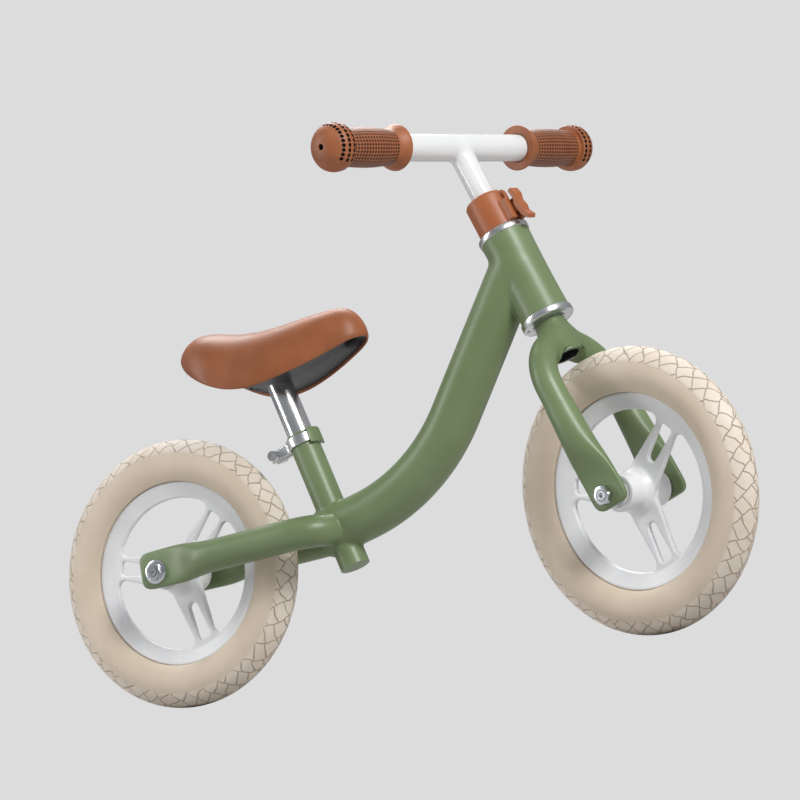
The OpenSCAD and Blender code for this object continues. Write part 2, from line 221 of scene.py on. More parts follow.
def rod(a, b, r):
    """Distance to an endless rod through a and b."""
    a, d = np.array(a, float), np.array(b, float) - np.array(a, float)
    d /= np.linalg.norm(d)

    def f(p):
        q = p - a
        return np.linalg.norm(q - np.outer(q @ d, d), axis=1) - r
    return f


def run(points, r):
    """Distance to a tube of radius r along a line of points."""
    pts = np.array(points, float)

    def f(p):
        best = np.full(len(p), 1e9)
        for a, b in zip(pts[:-1], pts[1:]):
            d = b - a
            t = np.clip((p - a) @ d / (d @ d), 0, 1)
            best = np.minimum(best, np.linalg.norm(p - a - np.outer(t, d), axis=1))
        return best - r
    return f


def blended(shapes, k):
    """Smooth minimum of the distances, with fillets about k millimetres wide."""
    def f(p):
        d = shapes[0](p)
        for s in shapes[1:]:
            e = s(p)
            h = np.clip(0.5 + 0.5 * (e - d) / k, 0, 1)
            d = e * (1 - h) + d * h - k * h * (1 - h)
        return d
    return f


def settle(points, f, times=3):
    """Slides points onto the surface where f is zero."""
    step = 0.05
    for _ in range(times):
        d = f(points)
        slope = np.stack([(f(points + e) - d) / step for e in np.eye(3) * step], axis=1)
        slope /= np.maximum(np.linalg.norm(slope, axis=1, keepdims=True), 0.3)
        points = points - slope * np.clip(d, -2, 2)[:, None]
    return points

# %% [markdown]
# ## Finishes
# Each finish is one Principled shader with procedural detail on object coordinates, which are in
# metres, so a pattern's scale is one over its real size. A small function turns sRGB hex colours to
# linear, and one adds a node with its settings and links.
# %% Colour and node helpers
def colour(hex_code):
    parts = [int(hex_code[i:i + 2], 16) / 255 for i in (1, 3, 5)]
    return [p / 12.92 if p <= 0.04045 else ((p + 0.055) / 1.055) ** 2.4 for p in parts] + [1]


def add(tree, kind, inputs=None, **settings):
    node = tree.nodes.new(kind)
    for key, value in settings.items():
        setattr(node, key, value)
    for key, value in (inputs or {}).items():
        if isinstance(value, bpy.types.NodeSocket):
            tree.links.new(value, node.inputs[key])
        else:
            node.inputs[key].default_value = value
    return node


def finish(name, base, roughness, **inputs):
    """A new material, its node tree, its shader and its object coordinates."""
    mat = bpy.data.materials.new(name)
    mat.use_nodes = True
    tree = mat.node_tree
    shader = tree.nodes["Principled BSDF"]
    shader.inputs["Base Color"].default_value = colour(base)
    shader.inputs["Roughness"].default_value = roughness
    for key, value in inputs.items():
        shader.inputs[key.replace("_", " ")].default_value = value
    where = add(tree, "ShaderNodeTexCoord").outputs["Object"]
    return mat, tree, shader, where


def per_mm(size):
    return 1000 / size


def speckle(tree, where, size, detail=3.0):
    return add(tree, "ShaderNodeTexNoise", {"Vector": where, "Scale": per_mm(size), "Detail": detail})


def ramp(tree, value, low, high, to_low=0.0, to_high=1.0):
    return add(tree, "ShaderNodeMapRange", {"Value": value, "From Min": low, "From Max": high,
                                            "To Min": to_low, "To Max": to_high}).outputs["Result"]


def two_tone(tree, factor, first, second):
    mix = add(tree, "ShaderNodeMix", {"Factor": factor}, data_type="RGBA")
    for socket, value in zip([s for s in mix.inputs if s.type == "RGBA"], (first, second)):
        if isinstance(value, str):
            socket.default_value = colour(value)
        else:
            tree.links.new(value, socket)
    return next(s for s in mix.outputs if s.type == "RGBA")


def raise_by(tree, shader, height, strength, distance_mm):
    bump = add(tree, "ShaderNodeBump", {"Height": height, "Strength": strength,
                                        "Distance": distance_mm * MM})
    tree.links.new(bump.outputs["Normal"], shader.inputs["Normal"])
    return bump


# %% [markdown]
# ### Powder coat
# The frame is sprayed with dry polyester powder and baked, which leaves a satin skin with a very
# fine orange peel about 2 mm across, and a colour that hardly changes over the piece.
# %% Powder coat, satin green
def powder_coat():
    mat, tree, shader, where = finish("powder_coated_steel_satin", "#6E8159", 0.4, IOR=1.5)
    shader.inputs["Coat Weight"].default_value = 0.12
    shader.inputs["Coat Roughness"].default_value = 0.3
    drift = speckle(tree, where, 70, 2).outputs["Fac"]
    tone = two_tone(tree, ramp(tree, drift, 0.35, 0.65), "#677A52", "#70835B")
    tree.links.new(tone, shader.inputs["Base Color"])
    peel = speckle(tree, where, 2.2, 2).outputs["Fac"]
    tree.links.new(ramp(tree, peel, 0.3, 0.7, 0.38, 0.46), shader.inputs["Roughness"])
    raise_by(tree, shader, peel, 0.25, 0.05)
    return mat


GREEN = powder_coat()


# %% [markdown]
# ### Gloss enamel
# Stem and bar have a white gloss stove enamel: nearly smooth, with a faint long wave that makes
# reflections waver a little.
# %% Gloss white enamel
def gloss_enamel():
    mat, tree, shader, where = finish("gloss_white_enamel", "#E2E3E3", 0.2, IOR=1.52)
    wave = speckle(tree, where, 9, 1).outputs["Fac"]
    tone = two_tone(tree, wave, "#DFE0E0", "#E6E7E7")
    tree.links.new(tone, shader.inputs["Base Color"])
    tree.links.new(ramp(tree, wave, 0.3, 0.7, 0.13, 0.2), shader.inputs["Roughness"])
    raise_by(tree, shader, wave, 0.12, 0.08)
    return mat


ENAMEL = gloss_enamel()


# %% [markdown]
# ### Bright metals
# The seat post is chrome plated, so it is almost a mirror with hairline rubbing marks along it. The
# headset cups and the seat clamp are turned and tumbled aluminium, duller and a little greyer. The
# bolts, axles and nuts are zinc plated steel, with soft cloudy patches.
# %% Chrome, aluminium and zinc
def metal(name, base, low, high, cloud_mm, scratch_mm, stretch=(1, 1, 1)):
    mat, tree, shader, where = finish(name, base, (low + high) / 2, Metallic=1.0)
    cloud = speckle(tree, where, cloud_mm, 3).outputs["Fac"]
    tree.links.new(ramp(tree, cloud, 0.3, 0.7, low, high), shader.inputs["Roughness"])
    drawn = add(tree, "ShaderNodeMapping", {"Vector": where, "Scale": stretch}).outputs["Vector"]
    hair = speckle(tree, drawn, scratch_mm, 2).outputs["Fac"]
    raise_by(tree, shader, hair, 0.1, 0.02)
    return mat


CHROME = metal("chrome_plated_steel", "#DFE2E6", 0.17, 0.26, 22, 1.2, (1, 1, 0.08))
ALUMINIUM = metal("tumbled_aluminium", "#D3D5D7", 0.24, 0.34, 12, 0.9)
ZINC = metal("zinc_plated_steel", "#CDD0D4", 0.16, 0.28, 5, 0.8)


# %% [markdown]
# ### Moulded plastics
# Wheels are glass-filled nylon in a cool off-white, with a semi-matt skin that light enters a
# little. The stem collar and its screw are brown ABS with a fine spark-eroded grain. The saddle
# base is polished black polypropylene, and the saddle bracket and the shim are plain black nylon.
# %% Plastics
def plastic(name, first, second, roughness, grain_mm, depth, scatter=0.0):
    mat, tree, shader, where = finish(name, first, roughness, IOR=1.48)
    if scatter:
        shader.inputs["Subsurface Weight"].default_value = scatter
        shader.inputs["Subsurface Scale"].default_value = 2 * MM
    flow = speckle(tree, where, 45, 2).outputs["Fac"]
    tree.links.new(two_tone(tree, ramp(tree, flow, 0.35, 0.65), first, second), shader.inputs["Base Color"])
    grain = speckle(tree, where, grain_mm, 3).outputs["Fac"]
    tree.links.new(ramp(tree, grain, 0.3, 0.7, roughness - 0.04, roughness + 0.05),
                   shader.inputs["Roughness"])
    raise_by(tree, shader, grain, 0.3, depth)
    return mat


NYLON = plastic("moulded_off_white_nylon", "#DADBDD", "#E1E2E3", 0.34, 1.4, 0.04, 0.08)
BROWN_ABS = plastic("moulded_brown_abs", "#9E5A34", "#A56039", 0.42, 1.1, 0.06)
BLACK_GLOSS = plastic("polished_black_polypropylene", "#060607", "#0A0A0B", 0.3, 2.5, 0.02)
BLACK_GLOSS.node_tree.nodes["Principled BSDF"].inputs["Specular IOR Level"].default_value = 0.22
# the same black nylon also lines the fork's bore, where it is painted shade
BLACK_NYLON_AND_BORE_SHADE = plastic("moulded_black_nylon_and_bore_shade", "#1E2022", "#25272A", 0.5, 0.9, 0.08)

# %% [markdown]
# ## The welded frame
# Head tube, main tube, cross tube of the stays and seat tube are cut from round steel tube and
# welded. They are built as closed shapes a little too long, joined into one skin, settled onto the
# blended distances, and then bored and trimmed by a boolean cut, the way a fitter reams a frame.
# %% Tube sizes and centre lines
HEAD_R, HEAD_LOW, HEAD_TOP = 26.5, 207.6, 302.5
MAIN_R, MAIN_BEND, MAIN_SLOPE, TAIL_SLOPE = 26.0, 200.0, math.radians(57.3), math.radians(14)
STAY_R, STAY_Y, STAY_END, STAY_BEND, STAY_TILT, STAY_RISE = 17.0, 46.0, 202.0, 34.0, 3.4, 2.8
SEAT_R, SEAT_LOW, CLAMP_LOW = 16.0, -27.0, 119.0
REAR_FILLET, HEAD_FILLET = 2.5, 4.5
JOIN = (310.1, 189.2)
STAY_SEAM = 120.0

STAYS = (Matrix.Translation(rear_hub) @ Matrix.Scale(MM, 4) @ Matrix.Translation((0, 0, STAY_RISE))
         @ Matrix.Rotation(math.radians(-STAY_TILT), 4, "Y"))


def arc(centre, radius, start, end, steps):
    """Points on an arc in a plane, with their angles, in degrees."""
    for i in range(steps + 1):
        a = math.radians(start + (end - start) * i / steps)
        yield centre[0] + radius * math.cos(a), centre[1] + radius * math.sin(a), a


def main_line(tail=50, nose=166, steps=40):
    """Centre line of the main tube in x and z from the rear axle, with its slope at each point."""
    t = MAIN_BEND * math.tan((MAIN_SLOPE - TAIL_SLOPE) / 2)
    c, s = math.cos(TAIL_SLOPE), math.sin(TAIL_SLOPE)
    first = (JOIN[0] - t * c, JOIN[1] - t * s)
    mid = (first[0] - MAIN_BEND * s, first[1] + MAIN_BEND * c)
    line = [(first[0] - tail * c, first[1] - tail * s, TAIL_SLOPE)]
    for i in range(steps + 1):
        a = TAIL_SLOPE + (MAIN_SLOPE - TAIL_SLOPE) * i / steps
        line.append((mid[0] + MAIN_BEND * math.sin(a), mid[1] - MAIN_BEND * math.cos(a), a))
    x, z, a = line[-1]
    line.append((x + nose * math.cos(a), z + nose * math.sin(a), a))
    return line


def stay_line(steps=16):
    """Centre line of one stay and half the cross tube in the stays' own plane, with its heading."""
    line = [(STAY_SEAM - 8, STAY_Y, 0.0)]
    turn = (STAY_END - STAY_BEND, STAY_Y - STAY_BEND)
    line += [(x, y, a - math.pi / 2) for x, y, a in arc(turn, STAY_BEND, 90, 0, steps)]
    line.append((STAY_END, 0, -math.pi / 2))
    return line


# %% The frame's skin
def frame_core():
    rear = Vector(rear_hub) / MM
    main = [Vector((rear.x + x, 0, z)) for x, z, _ in main_line()]
    cross = [[STAYS @ Vector((x, side * y, 0)) / MM for x, y, _ in stay_line()] for side in (1, -1)]
    head = [to_row(HEAD, (0, 0, s)) for s in (HEAD_LOW - 6, HEAD_TOP + 6)]
    seat = [to_row(SEAT, (0, 0, s)) for s in (SEAT_LOW - 6, CLAMP_LOW + 6)]
    bm = bmesh.new()
    for path, r in ((main, MAIN_R), (cross[0], STAY_R),
                    (cross[1], STAY_R), (head, HEAD_R), (seat, SEAT_R)):
        path = [Vector(p) for p in path]
        stations = []
        for i, p in enumerate(path):
            ahead = (path[min(i + 1, len(path) - 1)] - path[max(i - 1, 0)]).normalized()
            across = ahead.cross(Vector((0, 1, 0)) if abs(ahead.y) < 0.9 else Vector((0, 0, 1))).normalized()
            if stations and across.dot(stations[-1][1]) < 0:
                across = -across
            stations.append((p, across, ahead.cross(across), r, r, 1))
        swept(bm, stations, 64)
    mesh = one_skin(bm, "frame_core", 1.6)
    rear_joint = blended([run(main, MAIN_R), run(cross[0], STAY_R), run(cross[1], STAY_R),
                          rod(*seat, SEAT_R)], REAR_FILLET)
    waist = rod(*head, HEAD_R)
    low, high = np.array(head[0]), np.array(head[1])
    along = (high - low) / np.linalg.norm(high - low)

    def head_shape(p):
        s = (p - low) @ along - 6 - (HEAD_TOP - HEAD_LOW) / 2
        return waist(p) + 0.8 * np.clip(1 - (s / ((HEAD_TOP - HEAD_LOW) / 2)) ** 2, 0, 1)
    whole = blended([rear_joint, head_shape], HEAD_FILLET)
    set_points(mesh, settle(get_points(mesh), whole))
    return mesh


def cutter(bm, place, low, high, r, r_top=None):
    """Adds a closed cylinder from low to high along a place's z axis, in the bike's millimetres."""
    turn = Matrix.Scale(1 / MM, 4) @ place @ Matrix.Translation((0, 0, (low + high) / 2))
    bmesh.ops.create_cone(bm, cap_ends=True, segments=96, radius1=r, radius2=r_top or r,
                          depth=high - low, matrix=turn)


def stay_seam_cut(bm):
    for side in (1, -1):
        turn = Matrix.Scale(1 / MM, 4) @ STAYS @ Matrix.Translation((STAY_SEAM - 30, side * STAY_Y, 0))
        bmesh.ops.create_cube(bm, size=60, matrix=turn)


frame_mesh = frame_core()
tools = bmesh.new()
cutter(tools, HEAD, HEAD_LOW - 12, HEAD_LOW, 45)
cutter(tools, HEAD, HEAD_TOP, HEAD_TOP + 12, 45)
frame_mesh = carved(frame_mesh, tools, "frame_ends")
tools = bmesh.new()
cutter(tools, HEAD, HEAD_LOW - 5, HEAD_TOP + 5, 23.6)
cutter(tools, SEAT, SEAT_LOW + 3, CLAMP_LOW + 5, 14)
frame_mesh = carved(frame_mesh, tools, "frame_bores")
tools = bmesh.new()
cutter(tools, SEAT, SEAT_LOW - 12, SEAT_LOW, 30)
cutter(tools, SEAT, CLAMP_LOW, CLAMP_LOW + 12, 17.5)
stay_seam_cut(tools)
frame_mesh = carved(frame_mesh, tools, "frame_trim")
frame_mesh.transform(Matrix.Scale(MM, 4))
finish_mesh(frame_mesh, "welded_frame", "frame", GREEN,
            ["head_tube", "main_tube", "seat_tube_plug"], sharp=40)


# %% [markdown]
# ### Stay ends
# Each stay is the same round tube, pressed flat at its rear end to take the axle. The section is
# swept from round to a rounded oblong, with a soft shoulder where the press stops and a short run
# to the end, whose corners are ground round.
# %% Stays with flattened ends
def stay(side, name, cad):
    """(x, half height, half thickness, squareness) along the stay, from the dropout to the seam."""
    shape = [(-20, 12, 3.2, 0.5), (-19.2, 15, 3.8, 0.45), (-17.2, 17.4, 4, 0.42), (-13.5, 19.3, 4, 0.4),
             (-8, 20, 4, 0.4), (4, 20.2, 4.1, 0.42), (16, 20.4, 4.6, 0.45), (26, 20.6, 5.6, 0.5),
             (34, 20.4, 7.4, 0.6), (42, 19.6, 10.2, 0.75), (50, 18.6, 13.2, 0.88), (58, 17.7, 15.5, 0.96),
             (68, 17.1, 16.8, 1), (80, 17, 17, 1), (STAY_SEAM, 17, 17, 1)]
    bm = bmesh.new()
    # the plate stays in one plane and the round tube swells to both sides of it
    stations = [((x, side * STAY_Y, 0), (0, 1, 0), (0, 0, 1), b, a, p) for x, a, b, p in shape]
    swept(bm, stations, 56, caps=True)
    front = [f for f in bm.faces if all(abs(v.co.x - STAY_SEAM) < 0.01 for v in f.verts)]
    bmesh.ops.delete(bm, geom=front, context="FACES_ONLY")
    return finish_piece(bm, name, STAYS, "frame", GREEN, cad, subdiv=1, sharp=50)


stay(-1, "right_stay_tube", ["right_stay"])
stay(1, "left_stay_tube", ["left_stay"])

# %% [markdown]
# ### Mouth of the seat tube
# Above the clamp band the tube shows its rim, a slot and a small keeper lug in front. That part is
# kept from the CAD tube, cut off just inside the band.
# %% Seat tube mouth
mouth = bmesh.new()
mouth.from_mesh(nodes["seat_tube"].data)
bmesh.ops.transform(mouth, matrix=SEAT.inverted(), verts=mouth.verts)
bmesh.ops.remove_doubles(mouth, verts=mouth.verts, dist=0.01)
bmesh.ops.bisect_plane(mouth, geom=mouth.verts[:] + mouth.edges[:] + mouth.faces[:], plane_co=(0, 0, 111),
                       plane_no=(0, 0, 1), clear_inner=True)
corners = [e for e in mouth.edges if len(e.link_faces) == 2 and e.calc_face_angle(0) > 0.6]
bmesh.ops.bevel(mouth, geom=corners, offset=0.5, segments=2, profile=0.5, affect="EDGES", material=-1,
                clamp_overlap=True)
finish_piece(mouth, "seat_tube_mouth", SEAT, "frame", GREEN, ["seat_tube"])

# %% [markdown]
# ## Fork
# The fork is one tube bent into a U, its ends pressed flat for the axle, with a short neck welded
# on top and the steerer inside the head tube. The crown and neck are one blended skin with a bore
# from below, and each leg is swept down from the bend, first round, then flattened.
# %% Fork sizes
LEG_Y, CROWN_S, CROWN_R, NECK_TOP = 51.0, 125.0, 14.5, 199.6
STEERER_R, STEERER_TOP, STEM_R = 14.3, 346.0, 12.7
LEG_SEAM = 104.0


def fork_crown():
    bend = [Vector((0, y, z)) for y, z, _ in arc((0, CROWN_S), LEG_Y, 0, 180, 36)]
    bend = [Vector((0, LEG_Y, LEG_SEAM - 8))] + bend + [Vector((0, -LEG_Y, LEG_SEAM - 8))]
    bm = bmesh.new()
    stations = []
    for i, p in enumerate(bend):
        ahead = (bend[min(i + 1, len(bend) - 1)] - bend[max(i - 1, 0)]).normalized()
        stations.append((p, (1, 0, 0), ahead.cross(Vector((1, 0, 0))), CROWN_R, CROWN_R, 1))
    swept(bm, stations, 64)
    bmesh.ops.create_cone(bm, cap_ends=True, segments=96, radius1=17.6, radius2=15.9, depth=46,
                          matrix=Matrix.Translation((0, 0, NECK_TOP - 17)))
    mesh = one_skin(bm, "fork_crown", 1.3)
    neck = rod((0, 0, 0), (0, 0, 1), 16.2)

    def widening(p):
        return neck(p) - 0.03 * np.clip(NECK_TOP - p[:, 2], 0, 40)
    points = get_points(mesh)
    shape = blended([run(bend, CROWN_R), widening], 13)
    # the neck's two cut ends stay as they are
    reach = np.hypot(points[:, 0], points[:, 1])
    top = (points[:, 2] > NECK_TOP - 1) | ((points[:, 2] < NECK_TOP - 37.5) & (reach < 19))
    moved = settle(points, shape, 4)
    moved[top] = points[top]
    set_points(mesh, moved)
    tools = bmesh.new()
    for low, high, r in ((NECK_TOP, NECK_TOP + 20, 40), (110, NECK_TOP - 12, 13.4)):
        bmesh.ops.create_cone(tools, cap_ends=True, segments=96, radius1=r, radius2=r, depth=high - low,
                              matrix=Matrix.Translation((0, 0, (low + high) / 2)))
    for side in (1, -1):
        bmesh.ops.create_cube(tools, size=50, matrix=Matrix.Translation((0, side * LEG_Y, LEG_SEAM - 25)))
    mesh = carved(mesh, tools, "fork_crown_cut")
    # faces inside the bore get the black nylon finish: painted shade for the dark inside of the tube
    for face in mesh.polygons:
        middle = face.center
        face.material_index = int(math.hypot(middle.x, middle.y) < 13.6 and middle.z < NECK_TOP - 1)
    mesh.transform(STEERED)
    return mesh


finish_mesh(fork_crown(), "fork_crown_and_neck", "steering", [GREEN, BLACK_NYLON_AND_BORE_SHADE], sharp=40)


# %% Fork legs with flattened ends
def fork_leg(side, name):
    """(height, centre, half width, half thickness, squareness) from the seam down to the dropout."""
    shape = [(LEG_SEAM, 0, 15.0, 15.0, 1), (92, 0, 15.5, 15.4, 1), (80, 0, 16.0, 15.6, 1),
             (70, 0.1, 16.6, 15.2, 0.98), (60, 0.2, 17.4, 14.2, 0.94), (50, 0.3, 18.4, 12.2, 0.86),
             (42, 0.4, 19.3, 9.8, 0.74), (34, 0.5, 20.1, 7.2, 0.62), (26, 0.6, 20.7, 5.2, 0.52),
             (18, 0.8, 21.0, 4.0, 0.45), (8, 1.0, 21.3, 3.6, 0.42), (-2, 1.2, 21.5, 3.5, 0.4)]
    bm = bmesh.new()
    # the press leaves the flat plate a little inboard of the round tube's middle
    plate = LEG_Y - 2.5
    stations = []
    for s, t, a, b, p in shape:
        y = plate + (LEG_Y - plate) * min(1, max(0, (b - 3.5) / 9))
        stations.append(((t, side * y, s), (1, 0, 0), (0, 1, 0), a, b, p))
    # the cut end runs slightly askew, with rounded corners
    for drop, a, b in ((7.5, 20.6, 3.5), (10.5, 18.6, 3.4), (12.6, 15.6, 3.2), (13.6, 12.6, 2.6)):
        skew = 0.09
        up = Vector((1, 0, -skew)).normalized()
        stations.append(((1.4, side * plate, -drop), up, (0, 1, 0), a, b, 0.42))
    swept(bm, stations, 56, caps=True)
    seam = [f for f in bm.faces if all(abs(v.co.z - LEG_SEAM) < 0.01 for v in f.verts)]
    bmesh.ops.delete(bm, geom=seam, context="FACES_ONLY")
    return finish_piece(bm, name, STEERED, "steering", GREEN, subdiv=1, sharp=50)


fork_leg(-1, "right_fork_leg")
fork_leg(1, "left_fork_leg")

# %% [markdown]
# ### Steerer
# Inside the headset the fork goes on as a plain steel tube, split at the top where the collar
# pinches it onto the stem. It is turned from its section.
# %% Steerer tube
steerer = turned_mesh([(STEERER_R, 190), (STEERER_R, STEERER_TOP - 0.5), (STEERER_R - 0.5, STEERER_TOP),
                       (STEM_R + 0.3, STEERER_TOP), (STEM_R + 0.06, STEERER_TOP - 0.5), (STEM_R + 0.06, 190)],
                      closed=True)
finish_piece(steerer, "steerer_tube", STEERED, "steering", GREEN, ["fork"])

# %% [markdown]
# ## Wheels
# Each wheel is one nylon moulding: a barrel hub, three double spokes that flow into the hub and the
# web, and a dished rim with rolled edges. The CAD wheel is copied, laid flat in its own axes,
# remeshed into one skin and smoothed, which rounds every edge the way a mould does.
# %% One wheel, reused at both ends
HUB_HALF, RIM_R = 32.0, 99.5


def eased(mesh, rounds, weight):
    """Moves each point towards the middle of its neighbours, by its own weight each round."""
    points = get_points(mesh)
    ends = np.zeros(len(mesh.edges) * 2, int)
    mesh.edges.foreach_get("vertices", ends)
    a, b = ends.reshape(-1, 2).T
    count = np.bincount(ends, minlength=len(points))[:, None]
    for i in range(rounds):
        total = np.zeros_like(points)
        for axis in range(3):
            total[:, axis] = (np.bincount(a, points[b, axis], len(points))
                              + np.bincount(b, points[a, axis], len(points)))
        points = points + (total / count - points) * weight(points, i)[:, None]
    set_points(mesh, points)


def moulded_wheel():
    bm = bmesh.new()
    bm.from_mesh(nodes["rear_wheel"].data)
    bmesh.ops.transform(bm, matrix=REAR.inverted(), verts=bm.verts)
    bmesh.ops.remove_doubles(bm, verts=bm.verts, dist=0.01)
    mesh = one_skin(bm, "moulded_wheel", 1.05)

    def weight(p, i):
        r = np.hypot(p[:, 0], p[:, 2])
        hub = np.clip((31 - r) / 5, 0, 1) * np.clip((24 - np.abs(p[:, 1])) / 4, 0, 1)
        return np.where(i < 4, 0.5, 0.55 * hub)
    eased(mesh, 9, weight)
    tools = bmesh.new()
    for side in (1, -1):
        turn = Matrix.Rotation(-side * math.pi / 2, 4, "X") @ Matrix.Translation((0, 0, HUB_HALF + 5))
        bmesh.ops.create_cone(tools, cap_ends=True, segments=72, radius1=13.02, radius2=13.02, depth=24,
                              matrix=turn)
    return carved(mesh, tools, "wheel_bore")


wheel_mesh = moulded_wheel()
front_mesh = wheel_mesh.copy()
PHASE = Matrix.Rotation(HEAD_TILT, 4, "Y")
wheel_mesh.transform(REAR)
front_mesh.transform(STEERED @ PHASE)
finish_mesh(wheel_mesh, "rear_wheel_moulding", "rear_wheel_set", NYLON, ["rear_wheel"], sharp=50)
finish_mesh(front_mesh, "front_wheel_moulding", "front_wheel_set", NYLON, ["front_wheel"], sharp=50)


# %% [markdown]
# ### Hub caps
# A domed cap with a step closes each bearing. It is turned from its section, which keeps its rings
# crisp.
# %% Hub caps
def hub_caps(place, body, name, cad):
    bm = bmesh.new()
    section = [(7.2, 30.4), (7.2, 32.6), (8, 33), (10.2, 33), (10.9, 32.7), (11.2, 32.1), (12.6, 31.9),
               (12.94, 31.5), (12.94, 30.2)]
    for side in (1, -1):
        half = turned_mesh(section, 72, Matrix.Rotation(-side * math.pi / 2, 4, "X"), closed=True)
        piece = bpy.data.meshes.new("cap")
        half.to_mesh(piece)
        half.free()
        bm.from_mesh(piece)
        bpy.data.meshes.remove(piece)
    finish_piece(bm, name, place, body, NYLON, [cad])


hub_caps(REAR, "rear_wheel_set", "rear_hub_caps", "rear_dust_caps")
hub_caps(STEERED, "front_wheel_set", "front_hub_caps", "front_dust_caps")

# %% [markdown]
# ## Tyres
# The tyre is moulded rubber in warm beige. Its side is smooth up to a fine ring, and from there
# slanted cuts branch like leaf veins to a zigzag on the crown. The carcass is spun from its
# section, and gets a map that runs round the wheel and across the tread, so the cuts in the
# material follow the rubber.
# %% Tyre section
TYRE_R, TYRE_MID, TYRE_HALF = 145.0, 119.5, 19.5
TREAD_REPEATS = 40


def tyre_section():
    """Outside of the tyre from bead to bead, (radius, sideways), then the bead seats."""
    outer = []
    for i in range(61):
        a = math.radians(-142 + 284 * i / 60)
        side = TYRE_HALF * math.copysign(abs(math.sin(a)) ** 1.15, math.sin(a))
        outer.append((TYRE_MID + (TYRE_R - TYRE_MID) * math.cos(a), side))
    return outer + [(RIM_R + 0.4, 9.2), (RIM_R + 0.2, 7.4), (96, 5.4), (96, -5.4), (RIM_R + 0.2, -7.4),
                    (RIM_R + 0.4, -9.2)]


def tyre(place, body, name, cad, material):
    bm = turned_mesh(tyre_section(), 160, Matrix.Rotation(-math.pi / 2, 4, "X"), closed=True)
    bmesh.ops.recalc_face_normals(bm, faces=bm.faces)
    around = bm.loops.layers.uv.new("tread")
    for face in bm.faces:
        turn0 = math.atan2(face.calc_center_median().z, face.calc_center_median().x)
        for loop in face.loops:
            p = loop.vert.co
            turn = math.atan2(p.z, p.x)
            turn += round((turn0 - turn) / (2 * math.pi)) * 2 * math.pi
            # across: -1 at the left bead, 0 on the crown, 1 at the right bead, by angle about the core
            across = math.atan2(p.y, math.hypot(p.x, p.z) - TYRE_MID) / math.radians(142)
            loop[around].uv = (turn / (2 * math.pi) * TREAD_REPEATS, across)
    return finish_piece(bm, name, place, body, material, [cad], sharp=60)


# %% [markdown]
# ### Tyre rubber
# Cured rubber is matt, with a slight bloom. The tread is a height pattern on the tyre's own map.
# Long cuts slant back from the crown on both sides, and shorter cuts cross each strip at an offset
# of its own, which leaves pointed leaves of different sizes. The cuts are painted a little darker,
# as painted shade in grooves that are only a bump.
# %% Tread cuts as line distances
def maths(tree, operation, a, b=None, c=None):
    node = tree.nodes.new("ShaderNodeMath")
    node.operation = operation
    for i, value in enumerate(v for v in (a, b, c) if v is not None):
        if isinstance(value, bpy.types.NodeSocket):
            tree.links.new(value, node.inputs[i])
        else:
            node.inputs[i].default_value = value
    return node.outputs[0]


def tyre_rubber():
    mat, tree, shader, where = finish("cured_beige_rubber", "#CDBCA6", 0.6, IOR=1.5)
    uv = add(tree, "ShaderNodeUVMap", uv_map="tread").outputs["UV"]
    split = add(tree, "ShaderNodeSeparateXYZ", {"Vector": uv})
    u, v = split.outputs["X"], split.outputs["Y"]
    wobble = speckle(tree, where, 17, 1).outputs["Fac"]
    u = maths(tree, "MULTIPLY_ADD", maths(tree, "SUBTRACT", wobble, 0.5), 0.7, u)
    off = maths(tree, "ABSOLUTE", v)
    # the two sides are half a step apart, and the long cuts lean back
    base = maths(tree, "MULTIPLY_ADD", maths(tree, "GREATER_THAN", v, 0.0), 0.5, u)
    lean = maths(tree, "MULTIPLY_ADD", off, 2.3, base)
    strip = maths(tree, "WRAP", maths(tree, "FLOOR", lean), TREAD_REPEATS, 0.0)
    chance = add(tree, "ShaderNodeTexWhiteNoise", {"W": strip}, noise_dimensions="1D").outputs["Value"]
    across = maths(tree, "FRACT", lean)
    cross = maths(tree, "MULTIPLY_ADD", off, 6.0, maths(tree, "MULTIPLY_ADD", across, -1.15, chance))

    def cut(line, width):
        """1 inside a cut, from how far the point is from the nearest repeat of a line."""
        return ramp(tree, maths(tree, "PINGPONG", line, 0.5), width, width * 2.2, 1, 0)
    long_cuts = cut(lean, 0.018)
    short_cuts = cut(cross, 0.026)
    # zigzag round the crown
    tooth = maths(tree, "MULTIPLY_ADD", maths(tree, "PINGPONG", u, 0.5), 0.2, -0.05)
    crown = ramp(tree, maths(tree, "ABSOLUTE", maths(tree, "SUBTRACT", v, tooth)), 0.006, 0.013, 1, 0)
    cuts = maths(tree, "MAXIMUM", crown, maths(tree, "MAXIMUM", long_cuts, short_cuts))
    cuts = maths(tree, "MULTIPLY", cuts, ramp(tree, off, 0.40, 0.425, 1, 0))
    # a fine ring ends the tread, and a soft band rises on the side
    ring = ramp(tree, maths(tree, "ABSOLUTE", maths(tree, "SUBTRACT", off, 0.432)), 0.003, 0.01, 1, 0)
    tread = ramp(tree, off, 0.36, 0.47, 1, 0)
    patch = ramp(tree, speckle(tree, where, 38, 3).outputs["Fac"], 0.35, 0.65)
    side = two_tone(tree, patch, "#CDBDA9", "#D3C4B1")
    top = two_tone(tree, patch, "#DACDBD", "#E0D5C7")
    # the cuts are mixed towards dark brown: painted shade in the grooves
    tone = two_tone(tree, maths(tree, "MULTIPLY", cuts, 0.6), two_tone(tree, tread, side, top), "#8A7055")
    tree.links.new(tone, shader.inputs["Base Color"])
    grain = speckle(tree, where, 1.3, 2).outputs["Fac"]
    low = maths(tree, "MAXIMUM", cuts, maths(tree, "MULTIPLY", ring, 0.25))
    block = maths(tree, "SUBTRACT", maths(tree, "MULTIPLY", tread, 0.5), low)
    height = maths(tree, "MULTIPLY_ADD", grain, 0.07, block)
    raise_by(tree, shader, height, 0.8, 1.2)
    return mat


RUBBER = tyre_rubber()
tyre(REAR, "rear_wheel_set", "rear_tyre_rubber", "rear_tyre", RUBBER)
tyre(STEERED, "front_wheel_set", "front_tyre_rubber", "front_tyre", RUBBER)

